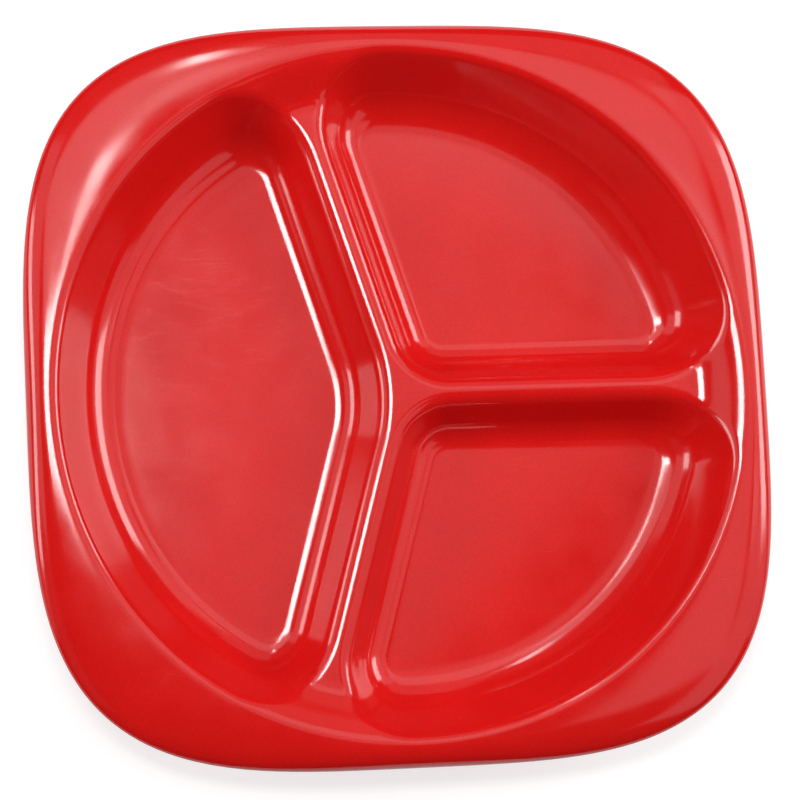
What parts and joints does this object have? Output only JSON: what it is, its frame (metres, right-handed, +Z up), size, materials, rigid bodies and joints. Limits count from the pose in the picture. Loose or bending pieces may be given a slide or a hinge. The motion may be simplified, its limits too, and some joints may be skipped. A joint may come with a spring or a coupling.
{
  "type": "divided compartment plate",
  "caption": "Square-round moulded plate with a rolled rim, a deep well and a Y of hollow-backed dividers between food compartments.",
  "frame": {"origin": "on the surface that the plate stands on, under the middle of its outline", "axes": "+Z up out of the compartments, +X along the right-hand divider, +Y towards the back"},
  "size_m": [0.254, 0.254, 0.0272],
  "materials": {
    "red_melamine": "compression-moulded red melamine, polished mould",
    "clear_glaze": "clear melamine glaze with the red moulding behind it, high gloss"
  },
  "bodies": {
    "root": {"plate_body": "red_melamine", "glaze_coat": "clear_glaze"}
  },
  "joints": []
}
